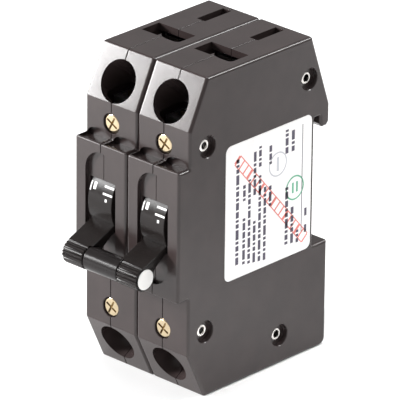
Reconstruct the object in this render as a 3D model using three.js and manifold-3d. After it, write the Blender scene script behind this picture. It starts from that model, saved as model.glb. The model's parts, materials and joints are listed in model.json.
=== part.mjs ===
import * as THREE from "three";
import { mergeVertices } from "three/addons/utils/BufferGeometryUtils.js";
import Module from "manifold-3d";

const wasm = await Module();
wasm.setup();

// Driving dimensions, millimetres. Y = 0 is the front face, +Y the mounting rail, Z = 0 the underside.
const PITCH = 19.05;
const HEIGHT = 91.1;
const MID = 45.3; // mirror height of the two terminals
const Y_ORIGIN = 19.7; // half way between the grip and the rear face
const HALF_IN = 0.1;
const HALF_OUT = 9.45;
const EDGE_R = 0.9;
const ROOM = 7.3; // half width of the inside room of one pole
const PIVOT = [7.0, 49.9];
const HUB_R = 11.3;
const HUB_HALF = 4.3;
const LEVER_DEG = -33.8;
const LEVER_LEN = 21.56;
const GRIP_R = 3.45;
const CRANK = [8.69, 46.72];
const ARM_PIVOT = [22, 36];
const ARM_REST_DEG = 17.9;
const ARM_PIN_R = 11;
const TRIP = [36.5, 45.5];
const ARMATURE = [39.2, 33.1];
const RIVETS = [[45.6, 79.3], [35.5, 8.3]];
const EYELETS = [[6.7, 71.7], [6.5, 18.9]];
const SCREW_Z = 71.7;

const BODY = [
  [6.5, 0], [51.8, 0], [52.57, 0.15], [53.21, 0.59], [53.65, 1.23], [53.8, 2], [53.8, 30.6], [48, 30.6],
  [48, 67.4], [50.1, 67.4], [50.1, 65.2], [51.2, 63.9], [52.8, 63.9], [53.8, 65], [53.8, 70.2], [46.6, HEIGHT],
  [6.5, HEIGHT], [0, 77.5], [0, 67.2], [-4, 67.2], [-4, 30], [0, 30], [0, 13.6],
];
const CAVITY = [
  [2.2, 25.4], [2.2, 39], [-1, 39], [-1, 60.8], [2.2, 60.8], [2.2, 66], [3, 66], [3, 78.2], [16, 78.2],
  [16, 89.1], [45, 89.1], [45, 83.5], [42, 83.5], [42, 69.4], [46, 69.4], [46, 2.2], [16, 2.2], [16, 12.4],
  [3, 12.4], [3, 25.4],
];

function toSolid(geometry) {
  const g = geometry.clone();
  g.deleteAttribute("normal");
  g.deleteAttribute("uv");
  const m = mergeVertices(g, 1e-4);
  return new wasm.Manifold(new wasm.Mesh({
    numProp: 3,
    vertProperties: new Float32Array(m.attributes.position.array),
    triVerts: new Uint32Array(m.index.array),
  }));
}

function toGeometry(solid) {
  const mesh = solid.getMesh();
  const g = new THREE.BufferGeometry();
  g.setAttribute("position", new THREE.BufferAttribute(new Float32Array(mesh.vertProperties), 3));
  g.setIndex(new THREE.BufferAttribute(new Uint32Array(mesh.triVerts), 1));
  g.computeVertexNormals();
  return g;
}

function join(...solids) {
  return solids.reduce((a, b) => a.add(b));
}

function cut(solid, ...tools) {
  return tools.reduce((a, b) => a.subtract(b), solid);
}

function outline(points) {
  return new THREE.Shape(points.map(([a, b]) => new THREE.Vector2(a, b)));
}

// (Y, Z) outline carried along X, with every long edge rounded by r when r > 0.
function alongX(shape, x0, x1, r = 0) {
  const options = r > 0
    ? { depth: x1 - x0 - 2 * r, bevelEnabled: true, bevelThickness: r, bevelSize: r, bevelOffset: -r, bevelSegments: 2 }
    : { depth: x1 - x0, bevelEnabled: false };
  const g = new THREE.ExtrudeGeometry(shape, { ...options, curveSegments: 6 });
  g.applyMatrix4(new THREE.Matrix4().set(0, 0, 1, 0, 1, 0, 0, 0, 0, 1, 0, 0, 0, 0, 0, 1));
  g.translate(x0 + r, 0, 0);
  return toSolid(g);
}

// (X, Z) outline carried along Y.
function alongY(shape, y0, y1) {
  const g = new THREE.ExtrudeGeometry(shape, { depth: y1 - y0, bevelEnabled: false, curveSegments: 6 });
  g.rotateX(Math.PI / 2);
  g.translate(0, y1, 0);
  return toSolid(g);
}

// (X, Y) outline carried along Z.
function alongZ(shape, z0, z1) {
  const g = new THREE.ExtrudeGeometry(shape, { depth: z1 - z0, bevelEnabled: false, curveSegments: 6 });
  g.translate(0, 0, z0);
  return toSolid(g);
}

function box(x0, x1, y0, y1, z0, z1) {
  const g = new THREE.BoxGeometry(x1 - x0, y1 - y0, z1 - z0);
  g.translate((x0 + x1) / 2, (y0 + y1) / 2, (z0 + z1) / 2);
  return toSolid(g);
}

function rodX(r, x0, x1, [y, z], n = 16) {
  const g = new THREE.CylinderGeometry(r, r, x1 - x0, n);
  g.rotateZ(Math.PI / 2);
  g.translate((x0 + x1) / 2, y, z);
  return toSolid(g);
}

function rodY(r, y0, y1, x, z, n = 16) {
  const g = new THREE.CylinderGeometry(r, r, y1 - y0, n);
  g.translate(x, (y0 + y1) / 2, z);
  return toSolid(g);
}

function rodZ(r, z0, z1, x, y, n = 16) {
  const g = new THREE.CylinderGeometry(r, r, z1 - z0, n);
  g.rotateX(Math.PI / 2);
  g.translate(x, y, (z0 + z1) / 2);
  return toSolid(g);
}

// Ring about X: radial profile (radius, x).
function turnedX(profile, [y, z], n = 12) {
  const g = new THREE.LatheGeometry(profile.map(([r, x]) => new THREE.Vector2(r, x)), n);
  g.rotateZ(-Math.PI / 2);
  g.translate(0, y, z);
  return toSolid(g);
}

function turnedZ(profile, x, y, n = 14) {
  const g = new THREE.LatheGeometry(profile.map(([r, z]) => new THREE.Vector2(r, z)), n);
  g.rotateX(Math.PI / 2);
  g.translate(x, y, 0);
  return toSolid(g);
}

function rotatedX(solid, deg, [y, z]) {
  const g = toGeometry(solid);
  g.translate(0, -y, -z);
  g.rotateX(THREE.MathUtils.degToRad(deg));
  g.translate(0, y, z);
  return toSolid(g);
}

function movedX(solid, dx) {
  const g = toGeometry(solid);
  g.translate(dx, 0, 0);
  return toSolid(g);
}

function flippedZ(solid, z) {
  const g = toGeometry(solid);
  g.applyMatrix4(new THREE.Matrix4().makeScale(1, 1, -1));
  g.translate(0, 0, 2 * z);
  const index = g.index.array;
  for (let i = 0; i < index.length; i += 3) [index[i], index[i + 1]] = [index[i + 1], index[i]];
  return toSolid(g);
}

function helix(x, y, z0, z1, radius, wire, turns) {
  class Coil extends THREE.Curve {
    getPoint(t) {
      const a = 2 * Math.PI * turns * t;
      return new THREE.Vector3(x + radius * Math.cos(a), y + radius * Math.sin(a), z0 + (z1 - z0) * t);
    }
  }
  const ring = new THREE.Shape();
  ring.absarc(0, 0, wire, 0, 2 * Math.PI, false);
  const g = new THREE.ExtrudeGeometry(ring, { steps: turns * 8, extrudePath: new Coil(), curveSegments: 2 });
  return toSolid(g);
}

const group = new THREE.Group();
const MATERIALS = {
  shell: [0x5f5755, 0.55, 0], handle: [0x262524, 0.45, 0], sleeve: [0x3a3736, 0.4, 0], white: [0xe8e6e0, 0.5, 0],
  brass: [0xc9a24a, 0.3, 1], steel: [0xa9acb0, 0.35, 1], nickel: [0xd2d0cc, 0.25, 1], copper: [0xb87333, 0.35, 1], label: [0xb9b2a4, 0.6, 0],
  coil: [0x9a4a22, 0.4, 0.6], latch: [0x9a3b2c, 0.5, 0],
};

function piece(name, solid, look) {
  const g = toGeometry(solid);
  g.translate(0, -Y_ORIGIN, 0);
  const [color, roughness, metalness] = MATERIALS[look];
  const mesh = new THREE.Mesh(g, new THREE.MeshStandardMaterial({ color, roughness, metalness }));
  mesh.name = name;
  group.add(mesh);
}

function slotShape(half, z0, z1) {
  const s = new THREE.Shape();
  s.moveTo(half, z0 + half);
  s.lineTo(half, z1 - half);
  s.absarc(0, z1 - half, half, 0, Math.PI, false);
  s.lineTo(-half, z0 + half);
  s.absarc(0, z0 + half, half, Math.PI, 2 * Math.PI, false);
  return s;
}

function scoopShape(x0, x1) {
  const s = new THREE.Shape();
  const c = (x0 + x1) / 2;
  const h = (x1 - x0) / 2;
  s.moveTo(x0, 66.5);
  s.lineTo(x1, 66.5);
  s.lineTo(x1, 67.0);
  s.absellipse(c, 67.0, h, 2.2, 0, Math.PI, false);
  return s;
}

function wireBore(y, z, r, down) {
  const length = 17;
  const g = new THREE.CylinderGeometry(r, r, length, 24);
  g.translate(0, length / 2 - 5.5, 0);
  const direction = new THREE.Vector3(0, 0.829, down ? -0.559 : 0.559).normalize();
  g.applyQuaternion(new THREE.Quaternion().setFromUnitVectors(new THREE.Vector3(0, 1, 0), direction));
  g.translate(0, y, z);
  return toSolid(g);
}

// Everything taken out of one pole, about its own seam at x = 0.
function poleTools() {
  const boss = rodX(3.25, -ROOM - 1, ROOM + 1, RIVETS[1]);
  return [
    cut(alongX(outline(CAVITY), -ROOM, ROOM), boss),
    alongY(slotShape(5.525, 33.3, 64.6), -6, -2.7),
    box(-4.9, 4.9, -6, 0, 42.6, 56.4),
    rodX(HUB_R + 0.4, -4.9, 4.9, PIVOT, 32),
    wireBore(2.6, 83.0, 5.9, true),
    wireBore(2.8, 7.75, 5.65, false),
    rodY(2.8, -2, 2.6, 0, SCREW_Z),
    rodY(1.9, -2, 5, 0, SCREW_Z),
    rodY(2.8, -2, 2.6, 0, 2 * MID - SCREW_Z),
    rodY(1.9, -2, 5, 0, 2 * MID - SCREW_Z),
    alongY(scoopShape(-8.7, -0.8), -3.5, 1),
    alongY(scoopShape(0.8, 8.4), -3.5, 1),
    alongZ(outline([
      [-7.1, 25.3], [-7.1, 18.6], [-1.3, 18.6], [-1.2, 20.2], [-0.5, 19.2], [1.1, 18.6], [2.9, 18.4], [4.6, 18.4],
      [5.8, 18.8], [6.2, 19.8], [6.2, 25.3],
    ]), 88, 93),
    box(-2.1, 0.9, 34.5, 44.6, 88, 93),
    rodX(1.35, -8.6, 8.6, PIVOT),
    rodX(1.35, -8.6, 8.6, ARM_PIVOT),
    box(-4.2, 4.2, 49.4, 51.6, 4, 31),
    box(-3, 3, 51, 55, 4, 31),
  ];
}

const rivetTools = RIVETS.flatMap((at) => [
  rodX(1.6, -25, 25, at), rodX(3.05, -25, -17.425, at), rodX(3.05, 17.425, 25, at),
]);
const eyeletTools = EYELETS.flatMap((at) => [
  rodX(1.55, -25, -15, at), rodX(1.55, 15, 25, at), rodX(3.05, -25, -17.425, at), rodX(3.05, 17.425, 25, at),
]);
const tripTool = rodX(1.8, -17.8, 17.8, TRIP);
const TOOLS = poleTools();

function labelShape(inset) {
  const [y0, y1, z0, z1, r] = [13.6 + inset, 47 - inset, 30.4 + inset, 69.3 - inset, 2 - inset];
  const s = new THREE.Shape();
  s.moveTo(y0 + r, z0);
  s.lineTo(y1 - r, z0);
  s.absarc(y1 - r, z0 + r, r, -Math.PI / 2, 0, false);
  s.lineTo(y1, z1 - r);
  s.absarc(y1 - r, z1 - r, r, 0, Math.PI / 2, false);
  s.lineTo(y0 + r, z1);
  s.absarc(y0 + r, z1 - r, r, Math.PI / 2, Math.PI, false);
  s.lineTo(y0, z0 + r);
  s.absarc(y0 + r, z0 + r, r, Math.PI, 1.5 * Math.PI, false);
  return s;
}

function shell(pole, right) {
  const [x0, x1] = right ? [-5, HALF_OUT] : [-HALF_OUT, 5];
  const blank = alongX(outline(BODY), x0, x1, EDGE_R);
  const keep = right ? box(HALF_IN, 20, -10, 60, -5, 100) : box(-20, -HALF_IN, -10, 60, -5, 100);
  const half = cut(blank.intersect(keep), ...TOOLS);
  const placed = cut(movedX(half, pole * PITCH / 2), ...rivetTools, tripTool);
  if (pole < 0 !== right) {
    const opened = cut(placed, ...eyeletTools);
    return right ? cut(opened, alongX(labelShape(0), 18.725, 20)) : opened;
  }
  return placed;
}

function tube(name, x0, x1, at, look) {
  const flange = 0.3;
  piece(name, turnedX([
    [0.95, x0], [1.75, x0], [1.75, x0 + flange], [1.4, x0 + flange], [1.4, x1 - flange], [1.75, x1 - flange],
    [1.75, x1], [0.95, x1], [0.95, x0],
  ], at), look);
}

// Handle: hub sector, neck, flat lever and one half of the fluted grip, at rest (OFF).
function leverPoint(u, v) {
  const a = THREE.MathUtils.degToRad(-LEVER_DEG);
  return [PIVOT[0] - u * Math.cos(a) - v * Math.sin(a), PIVOT[1] - u * Math.sin(a) + v * Math.cos(a)];
}

function hubSector() {
  const points = [leverPoint(0, 0)];
  for (let i = 0; i <= 20; i += 1) {
    const a = THREE.MathUtils.degToRad(-82 + (152 * i) / 20);
    points.push(leverPoint(HUB_R * Math.cos(a), HUB_R * Math.sin(a)));
  }
  return outline(points);
}

function grip(x0, x1) {
  const points = [];
  const [y, z] = leverPoint(LEVER_LEN, 0);
  const flutes = 16;
  for (let i = 0; i < flutes; i += 1) {
    [[0.0, 1], [0.45, 1], [0.6, 0.93], [0.85, 0.93]].forEach(([step, k]) => {
      const a = (2 * Math.PI * (i + step)) / flutes;
      points.push([y + GRIP_R * k * Math.cos(a), z + GRIP_R * k * Math.sin(a)]);
    });
  }
  return alongX(outline(points), x0, x1);
}

function handle(pole) {
  const blade = outline([[9, -0.3], [11.2, -0.2], [17, -0.4], [18.3, -0.9], [21, -1.6], [21, 3.0], [20.3, 3.2],
    [11.2, 1.3], [9, 1.0]].map(([u, v]) => leverPoint(u, v)).reverse());
  const solid = join(
    alongX(hubSector(), -HUB_HALF, HUB_HALF),
    rodX(5.2, -HUB_HALF, HUB_HALF, PIVOT, 32),
    alongX(blade, -HUB_HALF, HUB_HALF),
    rodX(1, HUB_HALF - 0.5, 6.4, CRANK, 16),
    pole > 0 ? grip(-3.2, 4.08) : grip(-4.08, 3.2),
  );
  const axle = leverPoint(LEVER_LEN, 0);
  const [low, high] = pole > 0 ? [-3.2, 4.08] : [-4.08, 3.2];
  return cut(solid, rodX(1.3, -9, 9, PIVOT), rodX(1.1, -9, 9, axle, 16), rodX(GRIP_R + 0.15, -9, low, axle, 20),
    rodX(GRIP_R + 0.15, high, 9, axle, 20));
}

function terminalScrew() {
  const solid = join(rodY(2.55, 0.3, 2.5, 0, SCREW_Z, 28), rodY(1.6, 2.4, 9, 0, SCREW_Z, 16));
  return cut(solid, box(-3, 3, 0, 1.3, SCREW_Z - 0.4, SCREW_Z + 0.4), box(-0.4, 0.4, 0, 1.3, SCREW_Z - 1.6, SCREW_Z + 1.6));
}

function terminalCage() {
  return cut(box(-4.6, 4.6, 5.6, 14.8, 67, 77), box(-3.4, 3.4, 7.4, 13, 60, 80), rodY(1.7, 5, 8, 0, SCREW_Z, 16));
}

function lineStrap() {
  const strap = join(
    box(-2.8, 2.8, 9.2, 10.4, 64, 77.6), box(-2.8, 2.8, 9.2, 18.8, 64, 65.2), box(-2.8, 2.8, 17.6, 18.8, 64, 88.3),
    box(-5.5, 6, 17.6, 18.8, 78, 88.3), box(-5.5, 6, 17.6, 20.2, 87.3, 88.3),
  );
  return join(strap, rodY(2.3, 18.5, 19.8, 0, 66.4, 20));
}

function loadStrap() {
  const z = 2 * MID;
  return join(
    box(-2.8, 2.8, 9.2, 10.4, z - 77.6, z - 64), box(-2.8, 2.8, 9.2, 22.5, z - 65.2, z - 64),
  );
}

function contactArm() {
  const [y, z] = ARM_PIVOT;
  const bar = outline([
    [y - 1.6, z - 2.2], [y + 1.6, z - 2.2], [y + 2.6, z], [y + 1.5, z + 10], [y + 1.0, z + 28], [y + 0.4, z + 31.5],
    [y - 1.0, z + 31.5], [y - 1.2, z + 28], [y - 1.5, z + 10], [y - 2.4, z],
  ]);
  const button = rodY(2, y - 2.1, y - 1, 0, z + 30.4, 20);
  const solid = join(alongX(bar, -2.5, 2.5), button);
  const drilled = cut(solid, rodX(1.3, -9, 9, [y, z]), rodX(1.08, -9, 9, [y, z + ARM_PIN_R], 16));
  return rotatedX(drilled, -ARM_REST_DEG, ARM_PIVOT);
}

function armPin() {
  const a = THREE.MathUtils.degToRad(ARM_REST_DEG);
  return [ARM_PIVOT[0] + ARM_PIN_R * Math.sin(a), ARM_PIVOT[1] + ARM_PIN_R * Math.cos(a)];
}

function toggleLink() {
  const [y0, z0] = CRANK;
  const [y1, z1] = armPin();
  const bar = outline([[y0, z0 - 1.4], [y1, z1 - 1.6], [y1, z1 + 2.6], [y0, z0 + 1.4]]);
  const slot = join(rodX(1.2, 4, 7, [y1, z1], 16), rodX(1.2, 4, 7, [y1, z1 + 0.9], 16),
    box(4, 7, y1 - 1.2, y1 + 1.2, z1, z1 + 0.9));
  const solid = join(alongX(bar, 4.75, 5.9), rodX(2, 4.75, 5.9, CRANK, 20), rodX(2.6, 4.75, 5.9, [y1, z1 + 0.4], 20));
  return cut(solid, rodX(1.15, 4, 7, CRANK, 16), slot);
}

function torsionSpring() {
  const [y, z] = ARM_PIVOT;
  class Wound extends THREE.Curve {
    getPoint(t) {
      const a = 2 * Math.PI * 4 * t + 0.6;
      return new THREE.Vector3(-6.2 + 3.0 * t, y + 2.0 * Math.cos(a), z + 2.0 * Math.sin(a));
    }
  }
  const ring = new THREE.Shape();
  ring.absarc(0, 0, 0.28, 0, 2 * Math.PI, false);
  return toSolid(new THREE.ExtrudeGeometry(ring, { steps: 32, extrudePath: new Wound(), curveSegments: 2 }));
}

function arcChute() {
  const sides = [box(-6.6, -6.0, 27, 41, 70, 88), box(6.0, 6.6, 27, 41, 70, 88)];
  const plates = [];
  for (let i = 0; i < 7; i += 1) {
    const z = 70.4 + 2.7 * i;
    plates.push(cut(box(-6.3, 6.3, 27, 41, z, z + 0.8), box(-1.6, 1.6, 26, 33, z - 1, z + 2)));
  }
  return join(...sides, ...plates);
}

function coilBody() {
  const profile = [[3.3, 14.5]];
  const turns = 5;
  for (let i = 0; i < turns; i += 1) {
    const z = 14.5 + (15.6 * i) / turns;
    profile.push([5.7, z], [6.3, z + 15.6 / turns / 2]);
  }
  profile.push([5.7, 30.1], [3.3, 30.1], [3.3, 14.5]);
  return join(turnedZ(profile, 0, 30), box(-1, 1, 22.9, 24.9, 26.8, 27.8));
}

function coilFrame() {
  const plate = join(box(-5, 5, 24, 40, 12.8, 14.2), box(-5, 5, 38.4, 40, 12.8, 32));
  return cut(plate, rodZ(3.15, 10, 16, 0, 30));
}

function coreTube() {
  return turnedZ([[1.4, 11.8], [3, 11.8], [3, 30.5], [4.2, 30.5], [4.2, 32], [1.4, 32], [1.4, 11.8]], 0, 30);
}

function armaturePlate() {
  const [y, z] = ARMATURE;
  const flat = join(box(-4.8, 4.8, 26, y + 0.9, z - 0.7, z + 0.7), box(-2.2, 2.2, y - 0.5, y + 0.9, z, 43));
  return rotatedX(flat, -8, ARMATURE);
}

function tripBar() {
  const [y, z] = TRIP;
  const parts = [rodX(1.5, -17.5, 17.5, TRIP, 20)];
  for (const x of [-PITCH / 2, PITCH / 2]) {
    parts.push(box(x - 1.8, x + 1.8, y - 0.6, y + 0.6, z - 5.2, z - 0.6));
  }
  return join(...parts);
}

function braid() {
  const [y, z] = ARM_PIVOT;
  const path = new THREE.CatmullRomCurve3([
    new THREE.Vector3(-6.3, y + 1, z - 4), new THREE.Vector3(-6.5, y - 1.5, z - 7),
    new THREE.Vector3(-6.4, y - 0.5, z - 11), new THREE.Vector3(-6.3, y + 2, z - 15),
  ]);
  const ring = new THREE.Shape();
  ring.absarc(0, 0, 0.7, 0, 2 * Math.PI, false);
  return toSolid(new THREE.ExtrudeGeometry(ring, { steps: 8, extrudePath: path, curveSegments: 3 }));
}

function railLatch() {
  return join(box(-3.9, 3.9, 49.7, 51.3, 12, 34.6), box(-2.7, 2.7, 51, 53.5, 12, 34.6));
}

for (const pole of [-1, 1]) {
  const side = pole < 0 ? "left" : "right";
  const dx = (pole * PITCH) / 2;
  const put = (name, solid, look) => piece(`${side}_${name}`, movedX(solid, dx), look);
  piece(`${side}_pole_${pole < 0 ? "outer" : "inner"}_shell`, shell(pole, false), "shell");
  piece(`${side}_pole_${pole < 0 ? "inner" : "outer"}_shell`, shell(pole, true), "shell");
  put("handle", handle(pole), "handle");
  put("handle_pin", rodX(1.2, -8.4, 8.4, PIVOT, 16), "steel");
  put("upper_screw", terminalScrew(), "brass");
  put("lower_screw", flippedZ(terminalScrew(), MID), "brass");
  put("upper_cage", terminalCage(), "steel");
  put("lower_cage", flippedZ(terminalCage(), MID), "steel");
  put("line_strap", lineStrap(), "brass");
  put("load_strap", loadStrap(), "brass");
  put("contact_arm", contactArm(), "copper");
  put("arm_pivot", rodX(1.2, -8.4, 8.4, ARM_PIVOT, 16), "steel");
  put("arm_stud", rodX(1, -3, 6.5, armPin(), 12), "steel");
  put("toggle_link", toggleLink(), "steel");
  put("opening_spring", torsionSpring(), "steel");
  put("arc_chute", arcChute(), "steel");
  put("coil", coilBody(), "coil");
  put("coil_frame", coilFrame(), "steel");
  put("core_tube", coreTube(), "steel");
  put("armature", armaturePlate(), "steel");
  put("flex_braid", braid(), "copper");
  put("rail_latch", railLatch(), "latch");
  put("latch_spring", helix(0, 50.5, 4.6, 11.4, 0.55, 0.22, 5), "steel");
  tube(`${side}_front_eyelet_upper`, pole < 0 ? -17.77 : 16.4, pole < 0 ? -16.4 : 17.77, EYELETS[0], "nickel");
  tube(`${side}_front_eyelet_lower`, pole < 0 ? -17.77 : 16.4, pole < 0 ? -16.4 : 17.77, EYELETS[1], "nickel");
}

tube("rear_rivet_upper", -17.75, 17.75, RIVETS[0], "nickel");
tube("rear_rivet_lower", -17.75, 17.75, RIVETS[1], "nickel");
const axle = leverPoint(LEVER_LEN, 0);
piece("tie_sleeve", turnedX([[1.15, -6.2], [3.3, -6.2], [3.3, 6.2], [1.15, 6.2], [1.15, -6.2]], axle, 20), "sleeve");
piece("tie_pin", rodX(1, -13.3, 13.3, axle, 16), "steel");
piece("end_cap_left", turnedX([[0, -13.95], [3.1, -13.95], [3.1, -13.65], [0, -13.65]], axle, 20), "white");
piece("end_cap_right", turnedX([[0, 13.65], [3.1, 13.65], [3.1, 13.95], [0, 13.95]], axle, 20), "white");
piece("trip_bar", tripBar(), "handle");
piece("side_label", alongX(labelShape(0.12), 18.74, 18.94), "label");

export default group;
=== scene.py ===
import json
import math

import bmesh
import bpy
from mathutils import Matrix, Vector


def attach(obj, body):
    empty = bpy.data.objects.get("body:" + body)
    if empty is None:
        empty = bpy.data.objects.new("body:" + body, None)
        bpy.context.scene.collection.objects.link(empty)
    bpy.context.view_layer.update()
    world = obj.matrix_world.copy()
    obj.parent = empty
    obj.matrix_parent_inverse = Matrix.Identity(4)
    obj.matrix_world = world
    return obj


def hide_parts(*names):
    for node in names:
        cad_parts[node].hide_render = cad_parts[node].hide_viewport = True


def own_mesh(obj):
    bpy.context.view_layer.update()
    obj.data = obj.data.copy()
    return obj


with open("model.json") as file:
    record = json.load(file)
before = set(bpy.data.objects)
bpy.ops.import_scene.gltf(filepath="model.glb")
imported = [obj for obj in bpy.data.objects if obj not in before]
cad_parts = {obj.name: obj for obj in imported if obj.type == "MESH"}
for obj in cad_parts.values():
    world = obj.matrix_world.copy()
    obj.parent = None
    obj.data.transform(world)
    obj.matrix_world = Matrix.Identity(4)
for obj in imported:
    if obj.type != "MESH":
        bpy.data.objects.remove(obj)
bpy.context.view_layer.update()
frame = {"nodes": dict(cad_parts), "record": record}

# Shapes are drawn in millimetres with Y = 0 on the front face, Y towards the rear and Z up.
# The row frame has the same axes, in metres, with its origin Y_ORIGIN behind that face.
Y_ORIGIN = 19.7
PITCH = 19.05  # between the two poles' middle planes
SEAM_GAP = 0.1  # from a pole's middle plane to the edge of either half shell
HALF_OUT = 9.45  # from a pole's middle plane to its side face
OUTER_FACE = 18.975  # from the breaker's middle plane to its side face
ROOM = 7.3  # half width of the hollow in a pole
THROUGH = 9  # half length of a tool that cuts through one pole
PIVOT = (7.0, 49.9)  # handle axis (Y, Z)
ARM_PIVOT = (22, 36)
TRIP_AXIS = (36.5, 45.5)
HUB_R = 11.3
HUB_HALF = 4.3  # half width of the handle's hub and blade
LEVER_DEG = 33.8  # blade below the horizontal at rest
LEVER_LEN = 21.56  # from the handle axis to the grip's axis
GRIP_R = 3.45
SCREW_Z = 71.7  # upper terminal screws; the lower ones mirror them about MID
MID = 45.3
RIVETS = ((45.6, 79.3), (35.5, 8.3))
EYELETS = ((6.7, 71.7), (6.5, 18.9))
RIVET_HOLE_R = 1.6
PIN_HOLE_R = 1.35

# (Y, Z, corner radius) of the side outline, anticlockwise.
BODY = (
    (6.5, 0, 0.6), (53.8, 0, 2.0), (53.8, 30.6, 0.5), (48, 30.6, 0.35), (48, 67.4, 0.3),
    (50.1, 67.4, 0.3), (50.1, 65.2, 0.3), (51.2, 63.9, 0.3), (52.8, 63.9, 0.3), (53.8, 65, 0.3),
    (53.8, 70.2, 1.0), (46.6, 91.1, 0.8), (6.5, 91.1, 0.8), (0, 77.5, 0.6), (0, 67.2, 0.25),
    (-4, 67.2, 0.45), (-4, 30, 0.45), (0, 30, 0.25), (0, 13.6, 0.6),
)
# (Y, Z) outline of the hollow in a pole.
CAVITY = (
    (2.2, 25.4), (2.2, 39), (-1, 39), (-1, 60.8), (2.2, 60.8), (2.2, 66), (3, 66), (3, 78.2),
    (16, 78.2), (16, 89.1), (45, 89.1), (45, 83.5), (42, 83.5), (42, 69.4), (46, 69.4), (46, 2.2),
    (16, 2.2), (16, 12.4), (3, 12.4), (3, 25.4),
)


# ---------------------------------------------------------------- mesh tools
def new_object(name, verts, faces):
    mesh = bpy.data.meshes.new(name)
    mesh.from_pydata([tuple(v) for v in verts], [], [tuple(f) for f in faces])
    mesh.validate()
    obj = bpy.data.objects.new(name, mesh)
    bpy.context.scene.collection.objects.link(obj)
    bm = bmesh.new()
    bm.from_mesh(mesh)
    bmesh.ops.recalc_face_normals(bm, faces=bm.faces)
    bm.to_mesh(mesh)
    bm.free()
    return obj


def loft(name, rings, closed=False):
    """Bridges rings of equal length. An open loft gets a flat cap at each end."""
    n = len(rings[0])
    verts = [v for ring in rings for v in ring]
    faces = []
    for i in range(len(rings) if closed else len(rings) - 1):
        a, b = i * n, ((i + 1) % len(rings)) * n
        faces += [(a + k, a + (k + 1) % n, b + (k + 1) % n, b + k) for k in range(n)]
    if not closed:
        faces += [tuple(range(n)), tuple(range((len(rings) - 1) * n, len(rings) * n))]
    return new_object(name, verts, faces)


def inset_outline(points, d, steps=4):
    """points (a, b, radius) anticlockwise, moved in by d; a rounded corner has steps segments."""
    n = len(points)
    out = []
    lines = []
    for i in range(n):
        a = Vector(points[i][:2])
        b = Vector(points[(i + 1) % n][:2])
        t = (b - a).normalized()
        lines.append((a + Vector((-t.y, t.x)) * d, t))
    for i in range(n):
        (pa, ta), (pb, tb) = lines[i - 1], lines[i]
        cross = ta.x * tb.y - ta.y * tb.x
        if abs(cross) < 1e-6:
            corner = pb.copy()
        else:
            w = pb - pa
            corner = pa + ta * ((w.x * tb.y - w.y * tb.x) / cross)
        r = points[i][2]
        if r <= 0 or abs(cross) < 1e-6:
            out += [tuple(corner)] if r <= 0 else [tuple(corner)] * (steps + 1)
            continue
        r = max(r - d, 0.05) if cross > 0 else r + d
        turn = math.atan2(cross, ta.dot(tb))
        back = r * math.tan(abs(turn) / 2)
        start = corner - ta * back
        normal = Vector((-ta.y, ta.x)) * (1 if cross > 0 else -1)
        centre = start + normal * r
        for k in range(steps + 1):
            a = turn * k / steps
            v = start - centre
            out.append((centre.x + v.x * math.cos(a) - v.y * math.sin(a),
                        centre.y + v.x * math.sin(a) + v.y * math.cos(a)))
    return out


def rounded_prism(name, points, x0, x1, r0, r1, segments=5):
    """Outline (Y, Z, corner radius) carried along X, its two end edges rounded by r0 and r1."""
    quarter = [math.pi / 2 * k / segments for k in range(segments + 1)]
    first = [(x0 + r0 * (1 - math.cos(a)), r0 * (1 - math.sin(a))) for a in quarter]
    last = [(x1 - r1 + r1 * math.sin(a), r1 * (1 - math.cos(a))) for a in quarter]
    rings = [[(x, y, z) for y, z in inset_outline(points, d)] for x, d in first + last]
    return loft(name, rings)


def turned(name, profile, origin, axis, n=48):
    """profile (distance along axis, radius) turned about axis from origin."""
    axis = Vector(axis).normalized()
    u = axis.orthogonal().normalized()
    w = axis.cross(u)
    rings = []
    for t, r in profile:
        c = Vector(origin) + axis * t
        rings.append([tuple(c + (u * math.cos(a) + w * math.sin(a)) * r)
                      for a in (2 * math.pi * k / n for k in range(n))])
    return loft(name, rings)


def along_x(name, outline, x0, x1):
    """(Y, Z) outline carried along X."""
    return loft(name, [[(x, y, z) for y, z in outline] for x in (x0, x1)])


def block(name, x0, x1, y0, y1, z0, z1):
    return along_x(name, [(y0, z0), (y1, z0), (y1, z1), (y0, z1)], x0, x1)


def plate_y(name, outline, y0, y1):
    """(X, Z) outline carried along Y."""
    return loft(name, [[(x, y, z) for x, z in outline] for y in (y0, y1)])


def boolean(target, cutter, operation="DIFFERENCE"):
    mod = target.modifiers.new("cut", "BOOLEAN")
    mod.operation, mod.object, mod.solver = operation, cutter, "MANIFOLD"
    graph = bpy.context.evaluated_depsgraph_get()
    graph.update()
    mesh = bpy.data.meshes.new_from_object(target.evaluated_get(graph))
    target.modifiers.clear()
    old, target.data = target.data, mesh
    bpy.data.meshes.remove(old)


def discard(objects):
    for obj in objects:
        mesh = obj.data
        bpy.data.objects.remove(obj)
        bpy.data.meshes.remove(mesh)


def finished(obj, name, body, material, replaced=(), dx=0.0, smooth_deg=32):
    """Moves obj to the row frame; sets shading, material, body and the CAD nodes it replaces."""
    obj.name = name
    mesh = obj.data
    mesh.transform(Matrix.Translation((dx, -Y_ORIGIN, 0)))
    mesh.transform(Matrix.Scale(0.001, 4))
    bm = bmesh.new()
    bm.from_mesh(mesh)
    bmesh.ops.remove_doubles(bm, verts=bm.verts, dist=2e-7)
    bmesh.ops.dissolve_degenerate(bm, edges=bm.edges, dist=1e-7)
    bm.to_mesh(mesh)
    bm.free()
    mesh.polygons.foreach_set("use_smooth", [True] * len(mesh.polygons))
    mesh.set_sharp_from_angle(angle=math.radians(smooth_deg))
    weighted = obj.modifiers.new("normals", "WEIGHTED_NORMAL")
    weighted.keep_sharp = True
    weighted.weight = 100
    mesh.materials.clear()
    mesh.materials.append(material)
    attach(obj, body)
    if replaced:
        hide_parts(*replaced)
    return obj


# ---------------------------------------------------------------- materials
ROUGH_SPREAD = 0.08
GRAIN_DEPTH = 0.00008  # metres


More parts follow.
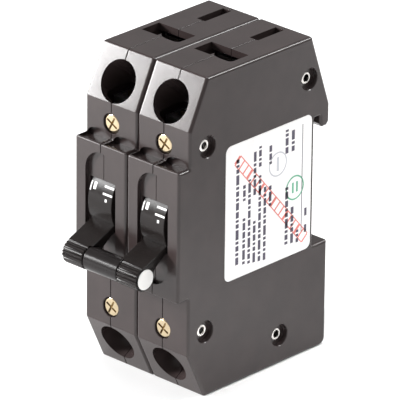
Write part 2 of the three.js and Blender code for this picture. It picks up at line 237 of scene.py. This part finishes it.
def node_material(name, base, roughness, metallic=0.0, spread=0.12, scale=900.0, grain=0.08,
                  streak=None, specular=0.5, grain_scale=4200.0):
    """Moulded or machined surface: broad colour drift, fine grain in bump and roughness."""
    mat = bpy.data.materials.new(name)
    mat.use_nodes = True
    nodes, links = mat.node_tree.nodes, mat.node_tree.links
    shader = nodes["Principled BSDF"]
    shader.inputs["Metallic"].default_value = metallic
    shader.inputs["Specular IOR Level"].default_value = specular
    coords = nodes.new("ShaderNodeTexCoord")
    mapping = nodes.new("ShaderNodeMapping")
    links.new(coords.outputs["Object"], mapping.inputs["Vector"])
    if streak:
        mapping.inputs["Scale"].default_value = streak
    drift = nodes.new("ShaderNodeTexNoise")
    drift.inputs["Scale"].default_value = scale * 0.12
    drift.inputs["Detail"].default_value = 4
    links.new(mapping.outputs["Vector"], drift.inputs["Vector"])
    ramp = nodes.new("ShaderNodeValToRGB")
    ramp.color_ramp.elements[0].position, ramp.color_ramp.elements[1].position = 0.3, 0.7
    ramp.color_ramp.elements[0].color = (*[c * (1 - spread) for c in base], 1)
    ramp.color_ramp.elements[1].color = (*[min(1, c * (1 + spread)) for c in base], 1)
    links.new(drift.outputs["Fac"], ramp.inputs["Fac"])
    links.new(ramp.outputs["Color"], shader.inputs["Base Color"])
    fine = nodes.new("ShaderNodeTexNoise")
    fine.inputs["Scale"].default_value = grain_scale
    fine.inputs["Detail"].default_value = 3
    links.new(mapping.outputs["Vector"], fine.inputs["Vector"])
    rough = nodes.new("ShaderNodeMapRange")
    rough.inputs["To Min"].default_value = max(0.02, roughness - ROUGH_SPREAD)
    rough.inputs["To Max"].default_value = min(1, roughness + ROUGH_SPREAD)
    links.new(fine.outputs["Fac"], rough.inputs["Value"])
    links.new(rough.outputs["Result"], shader.inputs["Roughness"])
    bump = nodes.new("ShaderNodeBump")
    bump.inputs["Strength"].default_value = grain
    bump.inputs["Distance"].default_value = GRAIN_DEPTH
    links.new(fine.outputs["Fac"], bump.inputs["Height"])
    links.new(bump.outputs["Normal"], shader.inputs["Normal"])
    return mat


MAT = {
    "housing": node_material("housing_plastic", (0.032, 0.0233, 0.0228), 0.22, grain=0.14,
                             grain_scale=3600, specular=0.45),
    "handle": node_material("handle_plastic", (0.012, 0.0095, 0.009), 0.24, grain=0.1,
                            grain_scale=3000, specular=0.18),
    "sleeve": node_material("sleeve_plastic", (0.012, 0.010, 0.010), 0.2, grain=0.05,
                            grain_scale=3000, specular=0.2),
    "end_cap": node_material("white_plastic", (0.86, 0.85, 0.83), 0.4, spread=0.04, grain=0.1),
    "legend": node_material("legend_white", (0.78, 0.77, 0.76), 0.45, spread=0.03, grain=0.1),
    "brass": node_material("bright_brass", (0.54, 0.44, 0.29), 0.2, 1.0, spread=0.1,
                           streak=(1, 1, 6), grain=0.05),
    "nickel": node_material("nickel_plate", (0.78, 0.75, 0.72), 0.2, 1.0, spread=0.06, grain=0.1),
    "steel": node_material("zinc_steel", (0.6, 0.6, 0.61), 0.32, 1.0, spread=0.1,
                           streak=(1, 6, 1), grain=0.2),
    "copper": node_material("plain_copper", (0.72, 0.38, 0.22), 0.3, 1.0, spread=0.14, grain=0.2),
    "winding": node_material("enamelled_wire", (0.38, 0.12, 0.04), 0.28, 0.6, spread=0.2,
                             streak=(1, 1, 14), grain=0.3),
    "latch": node_material("latch_plastic", (0.12, 0.10, 0.095), 0.42, grain=0.25),
    "label": node_material("label_film", (0.90, 0.88, 0.875), 0.3, spread=0.05, grain=0.08),
    "ink": node_material("label_ink", (0.06, 0.05, 0.085), 0.4, spread=0.1, grain=0.05),
    "ink_grey": node_material("label_grey", (0.50, 0.50, 0.54), 0.4, spread=0.1, grain=0.05),
    "ink_red": node_material("label_red", (0.72, 0.20, 0.17), 0.4, spread=0.1, grain=0.05),
    "ink_green": node_material("label_green", (0.12, 0.42, 0.26), 0.4, spread=0.1, grain=0.05),
}


# ---------------------------------------------------------------- housing
def circle_tool(name, at_yz, r, x0, x1, n=40):
    return turned(name, [(0, r), (x1 - x0, r)], (x0, *at_yz), (1, 0, 0), n)


# Screw well from the front, (depth, radius), with a small chamfer at its mouth.
SCREW_WELL = [(-2, 4.98), (0.18, 2.8), (2.6, 2.8), (2.6001, 1.9), (3.6, 1.9)]


def front_hole(z):
    return turned("well", SCREW_WELL, (0, 0, z), (0, 1, 0), 44)


def wire_bore(y, z, r, sign):
    """Wire entry at right angles to its sloping face; sign is -1 above and 1 below."""
    axis = Vector((0, 0.829, 0.559 * sign)).normalized()
    return turned("bore", [(-6, r), (11.5, r)], (0, y, z), axis, 72)


ARC_STEPS = 20
HALF_TURN = [math.pi * k / ARC_STEPS for k in range(ARC_STEPS + 1)]
SCOOP_FLOOR, SCOOP_EDGE, SCOOP_RISE = 66.5, 67.0, 2.2


def stadium(half, z0, z1):
    """Upright slot outline with round ends."""
    top = [(half * math.cos(a), z1 - half + half * math.sin(a)) for a in HALF_TURN]
    low = [(-half * math.cos(a), z0 + half - half * math.sin(a)) for a in HALF_TURN]
    return top + low


def scoop(x0, x1):
    """Arched hollow above the front plate, between x0 and x1."""
    c, h = (x0 + x1) / 2, (x1 - x0) / 2
    arch = [(c + h * math.cos(a), SCOOP_EDGE + SCOOP_RISE * math.sin(a)) for a in HALF_TURN]
    return [(x0, SCOOP_FLOOR), (x1, SCOOP_FLOOR)] + arch[:-1]


def shift(obj, dx):
    obj.data.transform(Matrix.Translation((dx, 0, 0)))
    return obj


# (X, Y) outline of the front window in the top face.
WINDOW = [
    (-7.1, 25.3), (-7.1, 18.6), (-1.3, 18.6), (-1.2, 20.2), (-0.9, 19.6), (-0.5, 19.2),
    (0.3, 18.8), (1.1, 18.6), (2.0, 18.45), (2.9, 18.4), (3.8, 18.4), (4.6, 18.4), (5.3, 18.5),
    (5.8, 18.8), (6.1, 19.2), (6.2, 19.8), (6.2, 25.3),
]
WINDOW_Z = (88, 93)
TRACK_Z = (4, 31)  # height of the rail latch's track
TUNNEL_HALF = 4.9  # half width of the handle's opening and of its hub's room
SLOT_HALF = 5.525


def pole_tools():
    """Everything cut out of both half shells of a pole, in the order of cutting."""
    room = along_x("room", CAVITY, -ROOM, ROOM)
    boss = circle_tool("boss", RIVETS[1], 3.25, -THROUGH, THROUGH)
    boolean(room, boss)
    discard([boss])
    return [
        room,
        plate_y("slot", stadium(SLOT_HALF, 33.3, 64.6), -6, -2.7),
        block("opening", -TUNNEL_HALF, TUNNEL_HALF, -6, 0, 42.6, 56.4),
        circle_tool("hub_room", PIVOT, HUB_R + 0.4, -TUNNEL_HALF, TUNNEL_HALF, 96),
        wire_bore(2.6, 83.0, 5.9, -1),
        wire_bore(2.8, 7.75, 5.65, 1),
        front_hole(SCREW_Z),
        front_hole(2 * MID - SCREW_Z),
        plate_y("scoop_a", scoop(-8.7, -0.8), -3.5, 1),
        plate_y("scoop_b", scoop(0.8, 8.4), -3.5, 1),
        loft("window", [[(x, y, z) for x, y in WINDOW] for z in WINDOW_Z]),
        block("rear_window", -2.1, 0.9, 34.5, 44.6, *WINDOW_Z),
        circle_tool("pin_a", PIVOT, PIN_HOLE_R, -8.6, 8.6),
        circle_tool("pin_b", ARM_PIVOT, PIN_HOLE_R, -8.6, 8.6),
        block("track_a", -4.2, 4.2, 49.4, 51.6, *TRACK_Z),
        block("track_b", -3, 3, 51, 55, *TRACK_Z),
    ]


WELL_R, WELL_DEPTH = 3.05, 1.55
EYELET_HOLE_DEPTH = 2.6


def side_well(at, outer, through=20.0):
    """Counterbore in an outer face (outer is -1 or +1) with the rivet's hole behind it."""
    profile = [(-1, 4.2), (0.15, WELL_R), (WELL_DEPTH, WELL_R),
               (WELL_DEPTH + 0.0001, RIVET_HOLE_R), (through, RIVET_HOLE_R)]
    return turned("well", profile, (outer * OUTER_FACE, *at), (-outer, 0, 0), 48)


LABEL_BED_X = 18.725


def label_points(inset):
    """(Y, Z, corner radius) of the label, moved in by inset."""
    y0, y1, z0, z1, r = 13.6 + inset, 47 - inset, 30.4 + inset, 69.3 - inset, 2 - inset
    return [(y0, z0, r), (y1, z0, r), (y1, z1, r), (y0, z1, r)]


SEAM_EDGE_R, SIDE_EDGE_R = 0.14, 0.9


def shell(pole, right):
    """One half shell; pole is -1 for the left pole and 1 for the right."""
    if right:
        obj = rounded_prism("shell", BODY, SEAM_GAP, HALF_OUT, SEAM_EDGE_R, SIDE_EDGE_R)
    else:
        obj = rounded_prism("shell", BODY, -HALF_OUT, -SEAM_GAP, SIDE_EDGE_R, SEAM_EDGE_R)
    dx = pole * PITCH / 2
    shift(obj, dx)
    tools = [shift(tool, dx) for tool in pole_tools()]
    outer = (pole < 0) != right
    for at in RIVETS:
        tools.append(side_well(at, pole) if outer
                     else circle_tool("rivet", at, RIVET_HOLE_R, -19.5, 19.5))
    if outer:
        tools += [side_well(at, pole, EYELET_HOLE_DEPTH) for at in EYELETS]
    tools.append(circle_tool("trip", TRIP_AXIS, 1.8, -17.8, 17.8))
    if outer and right:
        outline = inset_outline(label_points(0), 0, 8)
        tools.append(along_x("label_bed", outline, LABEL_BED_X, 20))
    for tool in tools:
        boolean(obj, tool)
    discard(tools)
    return obj


for pole in (-1, 1):
    for right in (False, True):
        side = "left" if pole < 0 else "right"
        place = "outer" if (pole < 0) != right else "inner"
        node = f"{side}_pole_{place}_shell"
        finished(shell(pole, right), f"{node}_moulding", "housing", MAT["housing"],
                 [node])


# ---------------------------------------------------------------- handles
def lever_point(u, v):
    """(Y, Z) of the point u along the blade's centre line from the handle axis and v above it."""
    a = math.radians(LEVER_DEG)
    return (PIVOT[0] - u * math.cos(a) - v * math.sin(a),
            PIVOT[1] - u * math.sin(a) + v * math.cos(a))


def anticlockwise(points):
    area = sum(a[0] * b[1] - b[0] * a[1] for a, b in zip(points, points[1:] + points[:1]))
    return points if area > 0 else points[::-1]


def hub_outline():
    """Sector of a circle, from 82 degrees under the blade to 70 degrees above it."""
    arc = [(*lever_point(HUB_R * math.cos(a), HUB_R * math.sin(a)), 0)
           for a in (math.radians(-82 + 152 * k / 56) for k in range(57))]
    return anticlockwise([(*lever_point(2.2, 0), 0)] + arc)


FLUTES = 22
# One flute of the grip: (part of the flute's pitch, depth below GRIP_R).
FLUTE = ((0.0, 0.0), (0.2, 0.02), (0.4, 0.0), (0.5, 0.1), (0.62, 0.3), (0.76, 0.3), (0.9, 0.1))
# (along, above, corner radius) of the blade, measured as in lever_point.
BLADE = [
    (9.3, -0.3, 0), (11.2, -0.2, 0.4), (17, -0.4, 0.8), (18.3, -0.9, 0.8), (21, -1.6, 0),
    (21, 3.0, 0.3), (20.3, 3.2, 0.5), (11.2, 1.3, 0.8), (9.3, 1.0, 0),
]
BOSS_R = 5.2
CRANK_AT = (8.69, 46.72)
GRIP_END = 4.08  # outer end of the grip, from the pole's middle plane
SLEEVE_END = 3.2  # the same for its end towards the sleeve


def grip_outline():
    y, z = lever_point(LEVER_LEN, 0)
    points = []
    for i in range(FLUTES):
        for step, depth in FLUTE:
            a, r = 2 * math.pi * (i + step) / FLUTES, GRIP_R - depth
            points.append((y + r * math.cos(a), z + r * math.sin(a), 0))
    return points


def handle(pole):
    low, high = (-SLEEVE_END, GRIP_END) if pole > 0 else (-GRIP_END, SLEEVE_END)
    obj = rounded_prism("hub", hub_outline(), -HUB_HALF, HUB_HALF, 0.2, 0.2, 3)
    boss = [(PIVOT[0] + BOSS_R * math.cos(a), PIVOT[1] + BOSS_R * math.sin(a), 0)
            for a in (2 * math.pi * k / 48 for k in range(48))]
    blade = anticlockwise([(*lever_point(u, v), r) for u, v, r in BLADE])
    parts = [
        rounded_prism("boss", boss, -HUB_HALF, HUB_HALF, 0.2, 0.2, 3),
        rounded_prism("blade", blade, -HUB_HALF, HUB_HALF, 0.35, 0.35, 4),
        circle_tool("crank", CRANK_AT, 1.0, 3.8, 6.4, 24),
        rounded_prism("grip", grip_outline(), low, high, 0.25, 0.25, 3),
    ]
    axle = lever_point(LEVER_LEN, 0)
    clear_r = GRIP_R + 0.12
    cuts = [
        circle_tool("a", PIVOT, 1.3, -THROUGH, THROUGH),
        circle_tool("b", axle, 1.1, -THROUGH, THROUGH),
        circle_tool("c", axle, clear_r, -THROUGH, low),
        circle_tool("d", axle, clear_r, high, THROUGH),
    ]
    for part in parts:
        boolean(obj, part, "UNION")
    for tool in cuts:
        boolean(obj, tool)
    discard(parts + cuts)
    return obj


PATCH_FLOOR, PATCH_TOP = HUB_R - 0.05, HUB_R + 0.035
PATCH_STEPS = 8
# Plain marks on the hub, none of which can be read: (left X, right X, lowest and highest degrees
# above the horizontal). The last two are out of sight until the handle is thrown up.
HUB_MARKS = (
    (0.75, 4.1, 26.2, 29.0), (0.75, 4.1, 16.0, 18.8), (1.8, 2.5, 7.0, 11.0),
    (-4.02, -3.68, 16.0, 29.0), (-2.95, -2.0, 19.0, 29.0),
    (0.8, 3.9, -81.5, -78.7), (1.9, 2.6, -70.0, -66.0),
)


def hub_patch(x0, x1, a0, a1):
    """Thin raised patch on the hub."""
    rings = []
    for k in range(PATCH_STEPS + 1):
        a = math.radians(a0 + (a1 - a0) * k / PATCH_STEPS)
        rings.append([(x, PIVOT[0] - r * math.cos(a), PIVOT[1] + r * math.sin(a))
                      for r, x in ((PATCH_FLOOR, x0), (PATCH_FLOOR, x1),
                                   (PATCH_TOP, x1), (PATCH_TOP, x0))])
    return loft("patch", rings)


def merged(objects, name):
    """Joins the meshes in the first object; nothing is welded."""
    first = objects[0]
    bm = bmesh.new()
    for obj in objects:
        bm.from_mesh(obj.data)
    bm.to_mesh(first.data)
    bm.free()
    discard(objects[1:])
    first.name = name
    return first


for pole, side in ((-1, "left"), (1, "right")):
    dx = pole * PITCH / 2
    finished(handle(pole), f"{side}_handle_moulding", "handle_bar", MAT["handle"],
             [f"{side}_handle"], dx)
    marks = merged([hub_patch(*mark) for mark in HUB_MARKS], "marks")
    finished(marks, f"{side}_handle_legend", "handle_bar", MAT["legend"], (), dx)

# (distance along X, radius)
SLEEVE = [(0, 2.9), (0.12, 3.15), (0.35, 3.3), (12.05, 3.3), (12.28, 3.15), (12.4, 2.9)]
END_DISC = [(0, 2.7), (0.05, 2.8), (0.2, 2.8), (0.27, 2.73), (0.3, 2.6)]
SLEEVE_X = -6.2
END_DISC_X = 13.65

axle = lever_point(LEVER_LEN, 0)
sleeve = turned("sleeve", SLEEVE, (SLEEVE_X, *axle), (1, 0, 0), 72)
hole = circle_tool("hole", axle, 1.15, -THROUGH, THROUGH)
boolean(sleeve, hole)
discard([hole])
finished(sleeve, "tie_sleeve_tube", "handle_bar", MAT["sleeve"], ["tie_sleeve"])
for side, sign in (("left", -1), ("right", 1)):
    disc = turned("disc", END_DISC, (sign * END_DISC_X, *axle), (sign, 0, 0), 64)
    finished(disc, f"end_cap_{side}_disc", "handle_bar", MAT["end_cap"],
             [f"end_cap_{side}"])


# ---------------------------------------------------------------- screws, eyelets, rivets
# (distance along Y from the head's face, radius)
SCREW = [(0, 2.0), (0.03, 2.3), (0.14, 2.48), (0.32, 2.55), (2.2, 2.55), (2.2001, 1.6), (8.3, 1.6),
         (8.7, 1.2)]
SCREW_FACE = 0.3  # depth of the head's face behind the housing's front
SLOT_LEN, SLOT_WIDE, SLOT_DEPTH = 2.0, 0.3, 1.1  # half length, half width, and Y of the floor
SLOT_TURN = math.radians(28)


def terminal_screw(z):
    obj = turned("screw", SCREW, (0, SCREW_FACE, z), (0, 1, 0), 64)
    cuts = [
        block("slot", -SLOT_LEN, SLOT_LEN, 0, SLOT_DEPTH, z - SLOT_WIDE, z + SLOT_WIDE),
        block("cross", -SLOT_WIDE, SLOT_WIDE, 0, SLOT_DEPTH, z - SLOT_LEN, z + SLOT_LEN),
    ]
    centre = Matrix.Translation((0, 0, z))
    for tool in cuts:
        tool.data.transform(centre @ Matrix.Rotation(SLOT_TURN, 4, "Y") @ centre.inverted())
        boolean(obj, tool)
    discard(cuts)
    return obj


# Rolled lip of a rivet, (distance from its end, radius), from the bore to the shank.
LIP = [(0.12, 0.98), (0.03, 1.1), (0.0, 1.3), (0.04, 1.55), (0.15, 1.72), (0.28, 1.7), (0.3, 1.4)]
EYELET_X = (16.4, 17.77)  # inner and outer end
RIVET_X = 17.75


def eyelet(x0, x1, at, name, replaced):
    """Tubular rivet between x0 and x1 with a rolled lip at both ends."""
    length = x1 - x0
    profile = LIP + [(length - t, r) for t, r in LIP[::-1]]
    rings = []
    n = 40
    for k in range(n):
        a = 2 * math.pi * k / n
        rings.append([(x0 + t, at[0] + r * math.cos(a), at[1] + r * math.sin(a))
                      for t, r in profile])
    finished(loft("eyelet", rings, closed=True), name, "housing", MAT["nickel"],
             [replaced], smooth_deg=60)


for pole, side in ((-1, "left"), (1, "right")):
    dx = pole * PITCH / 2
    for place, end, z in (("upper", "line", SCREW_Z), ("lower", "load", 2 * MID - SCREW_Z)):
        finished(terminal_screw(z), f"{side}_{place}_screw_detail", f"{side}_{end}_screw",
                 MAT["brass"], [f"{side}_{place}_screw"], dx)
    x0, x1 = EYELET_X if pole > 0 else (-EYELET_X[1], -EYELET_X[0])
    for at, place in zip(EYELETS, ("upper", "lower")):
        eyelet(x0, x1, at, f"{side}_front_eyelet_{place}_ring", f"{side}_front_eyelet_{place}")
for at, place in zip(RIVETS, ("upper", "lower")):
    eyelet(-RIVET_X, RIVET_X, at, f"rear_rivet_{place}_tube", f"rear_rivet_{place}")


# ---------------------------------------------------------------- latch springs
# The spring stands on the housing at SPRING_FOOT. The latch presses it down as it slides;
# here the coil is built at one length only, from SPRING_LOW to SPRING_HIGH.
SPRING_Y, SPRING_FOOT, SPRING_LOW, SPRING_HIGH = 50.5, 4.38, 4.6, 11.4
SPRING_R, SPRING_WIRE, SPRING_TURNS = 0.55, 0.2, 5
WIRE_SIDES = 8


def coil_spring():
    rings, steps = [], SPRING_TURNS * 20
    for k in range(steps + 1):
        a = 2 * math.pi * SPRING_TURNS * k / steps
        outward = Vector((math.cos(a), math.sin(a), 0))
        z = SPRING_LOW + (SPRING_HIGH - SPRING_LOW) * k / steps
        centre = Vector((0, SPRING_Y, z)) + outward * SPRING_R
        around = [2 * math.pi * n / WIRE_SIDES for n in range(WIRE_SIDES)]
        rings.append([tuple(centre + (outward * math.cos(b) + Vector((0, 0, math.sin(b))))
                            * SPRING_WIRE) for b in around])
    return loft("spring", rings)


for pole, side in ((-1, "left"), (1, "right")):
    spring = finished(coil_spring(), f"{side}_latch_spring_wire", "housing", MAT["steel"],
                      [f"{side}_latch_spring"], pole * PITCH / 2)
    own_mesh(spring)


# ---------------------------------------------------------------- side label
PRINT_X = (18.93, 18.958)  # from just inside the film to just above it
FILM_INSET = 0.12
FILM = ((18.74, 0), (18.91, 0), (18.94, 0.03))  # (X, inset), from the bed to the face

outline = label_points(FILM_INSET)
film = loft("film", [[(x, y, z) for y, z in inset_outline(outline, d, 8)] for x, d in FILM])
finished(film, "side_label_film", "housing", MAT["label"], ["side_label"])

# Columns of print as broken bars: (centre Y, lowest Z, highest Z, width).
PRINT_COLUMNS = (
    (18.3, 34.4, 64.6, 1.15), (20.9, 33.8, 47.0, 1.0), (20.9, 52.0, 56.5, 1.0),
    (22.9, 33.4, 57.5, 1.0), (24.9, 33.1, 46.0, 1.0), (24.9, 52.5, 65.8, 1.0),
    (26.9, 32.8, 57.5, 1.0), (26.9, 60.0, 65.8, 1.0), (28.9, 32.5, 54.0, 1.0),
    (30.9, 47.5, 53.5, 1.0), (30.9, 59.5, 64.8, 1.0), (37.4, 34.3, 51.2, 1.15),
    (39.6, 34.0, 44.5, 1.1), (37.2, 60.6, 67.4, 1.15), (39.6, 60.6, 66.6, 1.15),
    (41.7, 33.6, 37.2, 1.0),
)
DASHES = (2.1, 0.8, 1.5, 0.8, 2.8, 1.2, 0.7, 1.8)
DASH_GAP = 0.5
# Plain bars (lowest Y, highest Y, lowest Z, highest Z): a line beside the columns and two blocks.
PRINT_BARS = ((43.15, 43.4, 36.1, 67.2), (44.4, 45.3, 40.4, 42.6), (44.4, 45.3, 35.6, 37.8))
# Ladder-like band: its two ends, half width, number of steps, and line widths.
STAMP_ENDS = ((18.2, 64.4), (44.6, 34.0))
STAMP_HALF = 1.5
STAMP_RUNGS = 17
RAIL_WIDTH, THIN_RUNG, THICK_RUNG = 0.3, 0.5, 0.9
RUNG_REACH = 0.9  # part of STAMP_HALF
# Rings (Y, Z, radius, line) with plain bars inside them.
GREY_RING, GREY_BARS = (33.75, 58.6, 3.3, 0.4), ((33.3, 34.2, 56.6, 60.6),)
GREEN_RING = (40.5, 49.8, 3.3, 0.45)
GREEN_BARS = ((39.4, 40.1, 48.4, 51.4), (41.0, 41.7, 48.4, 51.4))
RING_STEPS = 56


def bar(y0, y1, z0, z1):
    return [(y0, z0), (y1, z0), (y1, z1), (y0, z1)]


def stroke(start, end, width):
    """Straight mark between two (Y, Z) points."""
    a, b = Vector(start), Vector(end)
    along = (b - a).normalized()
    off = Vector((-along.y, along.x)) * width / 2
    return [tuple(a + off), tuple(a - off), tuple(b - off), tuple(b + off)]


def broken_bar(y, z0, z1, width, first):
    """Column of dashes whose lengths follow DASHES from entry first on."""
    outlines, z, k = [], z0, first
    while z < z1 - DASH_GAP:
        end = min(z1, z + DASHES[k % len(DASHES)])
        outlines.append(bar(y - width / 2, y + width / 2, z, end))
        z, k = end + DASH_GAP, k + 1
    return outlines


def printed(name, outlines, material, rings=()):
    """One colour of print: flat outlines and (Y, Z, radius, line) rings, joined in one piece."""
    parts = [along_x("mark", outline, *PRINT_X) for outline in outlines]
    for y, z, r, line in rings:
        low, high = r - line / 2, r + line / 2
        profile = [(PRINT_X[0], low), (PRINT_X[0], high), (PRINT_X[1], high), (PRINT_X[1], low)]
        sections = [[(x, y + q * math.cos(a), z + q * math.sin(a)) for x, q in profile]
                    for a in (2 * math.pi * k / RING_STEPS for k in range(RING_STEPS))]
        parts.append(loft("ring", sections, closed=True))
    finished(merged(parts, name), name, "housing", material)


columns = [outline for index, (y, z0, z1, width) in enumerate(PRINT_COLUMNS)
           for outline in broken_bar(y, z0, z1, width, 3 * index)]
printed("label_print", columns + [bar(*edges) for edges in PRINT_BARS], MAT["ink"])

stamp_from, stamp_to = Vector(STAMP_ENDS[0]), Vector(STAMP_ENDS[1])
stamp_off = (stamp_to - stamp_from).normalized().yx * STAMP_HALF
stamp_off.x = -stamp_off.x
rails = [stroke(stamp_from + stamp_off * s, stamp_to + stamp_off * s, RAIL_WIDTH) for s in (-1, 1)]
rungs = [stroke(p - stamp_off * RUNG_REACH, p + stamp_off * RUNG_REACH,
                THIN_RUNG if k % 3 else THICK_RUNG)
         for k, p in ((k, stamp_from.lerp(stamp_to, k / STAMP_RUNGS))
                      for k in range(STAMP_RUNGS + 1))]
printed("label_stamp", rails + rungs, MAT["ink_red"])
printed("label_grey_ring", [bar(*edges) for edges in GREY_BARS], MAT["ink_grey"], [GREY_RING])
printed("label_green_ring", [bar(*edges) for edges in GREEN_BARS], MAT["ink_green"], [GREEN_RING])


# ---------------------------------------------------------------- CAD nodes that stay
SLOT_MATERIAL = {entry["slot"]: MAT.get(entry["slot"], MAT["steel"])
                 for entry in frame["record"]["materials"]}
SLOT_OF = {entry["node"]: entry["material_slot"] for entry in frame["record"]["subparts"]}
for node, obj in frame["nodes"].items():
    if not obj.data.materials:
        obj.data.materials.append(None)
    for index in range(len(obj.data.materials)):
        obj.data.materials[index] = SLOT_MATERIAL[SLOT_OF[node]]


# ---------------------------------------------------------------- camera, light, floor
# From here on everything is in metres, in the row frame.
TARGET = Vector((-0.000536, 0.02492 - Y_ORIGIN / 1000, 0.04502))
VIEW = Vector((-0.6278, 0.6671, -0.4010)).normalized()
ROLL = math.radians(0.61)
DISTANCE = 1.5325
LENS_MM, SENSOR_MM, SHIFT_X = 519.7, 36, -0.0017

camera_data = bpy.data.cameras.new("camera")
camera = bpy.data.objects.new("camera", camera_data)
bpy.context.scene.collection.objects.link(camera)
side_axis = VIEW.cross(Vector((0, 0, 1))).normalized()
up_axis = side_axis.cross(VIEW)
right_axis = side_axis * math.cos(ROLL) + up_axis * math.sin(ROLL)
up_axis = right_axis.cross(VIEW)
rotation = Matrix((right_axis, up_axis, -VIEW)).transposed().to_4x4()
camera.matrix_world = Matrix.Translation(TARGET - VIEW * DISTANCE) @ rotation
camera_data.sensor_width = SENSOR_MM
camera_data.lens = LENS_MM
camera_data.shift_x = SHIFT_X
camera_data.clip_start, camera_data.clip_end = 0.05, 20
bpy.context.scene.camera = camera


def lamp(name, kind, location, power, aim):
    """Lamp of power watts at location, turned towards aim. Returns its settings."""
    data = bpy.data.lights.new(name, kind)
    data.energy = power
    obj = bpy.data.objects.new(name, data)
    bpy.context.scene.collection.objects.link(obj)
    obj.location = location
    obj.rotation_euler = (aim - obj.location).to_track_quat("-Z", "Y").to_euler()
    return data


def soft_box(name, location, size, power):
    """Rectangular lamp aimed at the breaker."""
    data = lamp(name, "AREA", location, power, TARGET)
    data.shape, data.size, data.size_y = "RECTANGLE", size[0], size[1]


# The key's reflection fills the upper front chamfers. Its right edge falls across the right
# pole's chamfer.
soft_box("key", (-0.806, -0.590, 0.362), (0.34, 0.34), 16)
soft_box("hard_key", (-0.818, -0.578, 0.40), (0.05, 0.05), 9)
soft_box("overhead", (-0.1, 0.22, 1.12), (0.9, 0.9), 5.5)
# Behind and to the right: draws the fine line on the long top edge.
soft_box("rear_edge", (0.34, 0.53, 0.59), (0.18, 0.18), 2.6)

# A pool of light on the floor beside the right face, to brighten the lower part of that face.
pool = lamp("floor_pool", "SPOT", (0.30, 0.15, 0.85), 26, Vector((0.065, 0.02, 0)))
pool.spot_size, pool.spot_blend = math.radians(10), 1.0
pool.shadow_soft_size = 0.05

WORLD_STRENGTH = 0.45
world = bpy.data.worlds.new("studio")
world.use_nodes = True
background = world.node_tree.nodes["Background"]
background.inputs["Color"].default_value = (1, 1, 1, 1)
background.inputs["Strength"].default_value = WORLD_STRENGTH
bpy.context.scene.world = world

FLOOR = 6  # half width
floor_mesh = bpy.data.meshes.new("floor")
floor_mesh.from_pydata([(-FLOOR, -FLOOR, 0), (FLOOR, -FLOOR, 0), (FLOOR, FLOOR, 0),
                        (-FLOOR, FLOOR, 0)], [], [(0, 1, 2, 3)])
floor = bpy.data.objects.new("floor", floor_mesh)
bpy.context.scene.collection.objects.link(floor)
floor_mesh.materials.append(node_material("floor_paper", (0.93, 0.93, 0.93), 0.9, spread=0.01,
                                          scale=30, grain=0.02, specular=0.1))
bpy.context.scene.view_settings.view_transform = "Standard"
